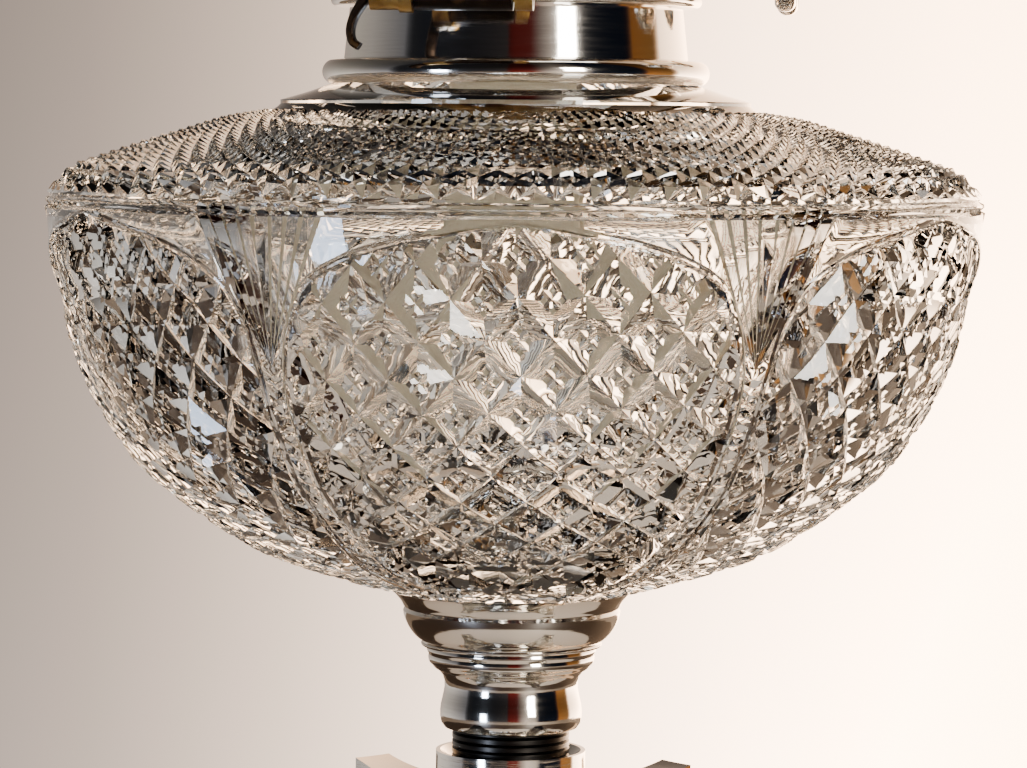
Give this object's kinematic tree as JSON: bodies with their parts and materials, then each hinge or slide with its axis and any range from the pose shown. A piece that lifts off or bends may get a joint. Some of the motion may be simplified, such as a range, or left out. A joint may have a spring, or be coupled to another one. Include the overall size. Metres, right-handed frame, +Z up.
{
  "type": "oil lamp",
  "caption": "Table oil lamp: fluted column stand, cut glass font on a silver-plated cup, two-wick burner with winders, snuffer lever and glass chimney.",
  "frame": {"origin": "middle of the underside of the base, on the surface the lamp stands on", "axes": "+Z up along the column; wicks and winder spindles along X; snuffer lever at -Y"},
  "size_m": [0.1898, 0.1898, 0.7421],
  "materials": {
    "silver_plate": "polished silver plate",
    "cut_glass": "clear cut and polished lead glass",
    "chimney_glass": "clear blown glass",
    "black_thread": "blackened steel",
    "brass": "worn brass",
    "dark_bronze": "dark tarnished brass",
    "iron": "bare iron",
    "plaster": "set plaster",
    "green_felt": "wool felt",
    "cotton": "woven cotton wick"
  },
  "bodies": {
    "stand": {"base_felt": "green_felt", "base_plinth": "silver_plate", "base_weight": "iron", "tie_washer": "iron", "tie_nut": "iron", "tie_rod": "iron", "base_moulding": "silver_plate", "column_foot": "silver_plate", "column_shaft": "silver_plate", "astragal": "silver_plate", "capital_bell": "silver_plate", "leaves_lower": "silver_plate", "leaves_upper": "silver_plate", "corner_scrolls": "silver_plate", "abacus": "silver_plate", "rosettes": "silver_plate", "socket_ring": "silver_plate"},
    "font": {"font_stub": "black_thread", "cup_lower": "silver_plate", "cup_upper": "silver_plate", "cup_plaster": "plaster", "font_bowl": "cut_glass", "collar_ring": "silver_plate", "collar_plaster": "plaster"},
    "burner": {"burner_flange": "silver_plate", "burner_drum": "silver_plate", "tube_plate": "brass", "spindle_bushes": "brass", "lever_bracket": "dark_bronze", "chimney_gallery": "silver_plate", "flame_dome": "silver_plate", "wick_tube_front": "brass", "wick_tube_rear": "brass"},
    "chimney_body": {"chimney": "chimney_glass"},
    "lever": {"snuffer_lever": "brass", "thumb_piece": "silver_plate"},
    "snuffers": {"snuffer_sleeves": "brass"},
    "winder_front": {"spindle_front": "brass", "spurs_front": "brass", "knob_front": "silver_plate"},
    "wick_body_front": {"wick_front": "cotton"},
    "winder_rear": {"spindle_rear": "brass", "spurs_rear": "brass", "knob_rear": "silver_plate"},
    "wick_body_rear": {"wick_rear": "cotton"}
  },
  "joints": [
    {"name": "font_turn", "type": "hinge", "parent": "stand", "child": "font", "pos_m": [0, 0, 0.33], "axis": [0, 0, 1], "range_deg": [0, 360]},
    {"name": "burner_turn", "type": "hinge", "parent": "font", "child": "burner", "pos_m": [0, 0, 0.4809], "axis": [0, 0, 1], "range_deg": [-20, 0]},
    {"name": "chimney_lift", "type": "slide", "parent": "burner", "child": "chimney_body", "axis": [0, 0, 1], "range_m": [0, 0.03]},
    {"name": "lever_swing", "type": "hinge", "parent": "burner", "child": "lever", "pos_m": [0, -0.042, 0.4829], "axis": [1, 0, 0], "range_deg": [0, 18.02]},
    {"name": "snuffer_lift", "type": "slide", "parent": "burner", "child": "snuffers", "axis": [0, 0, 1], "range_m": [0, 0.0075]},
    {"name": "winder_front_turn", "type": "hinge", "parent": "burner", "child": "winder_front", "pos_m": [0, -0.01245, 0.4892], "axis": [1, 0, 0], "range_deg": [-200.54, 42.97]},
    {"name": "wick_front_slide", "type": "slide", "parent": "burner", "child": "wick_body_front", "axis": [0, 0, 1], "range_m": [-0.01402, 0.00302]},
    {"name": "winder_rear_turn", "type": "hinge", "parent": "burner", "child": "winder_rear", "pos_m": [0, 0.01245, 0.4892], "axis": [1, 0, 0], "range_deg": [-42.97, 200.54]},
    {"name": "wick_rear_slide", "type": "slide", "parent": "burner", "child": "wick_body_rear", "axis": [0, 0, 1], "range_m": [-0.01402, 0.00302]}
  ],
  "couplings": [
    {"joint": "lever_swing", "follows": "snuffer_lift", "rad_per_m": 41.888},
    {"joint": "wick_front_slide", "follows": "winder_front_turn", "m_per_rad": 0.004},
    {"joint": "wick_rear_slide", "follows": "winder_rear_turn", "m_per_rad": -0.004}
  ]
}
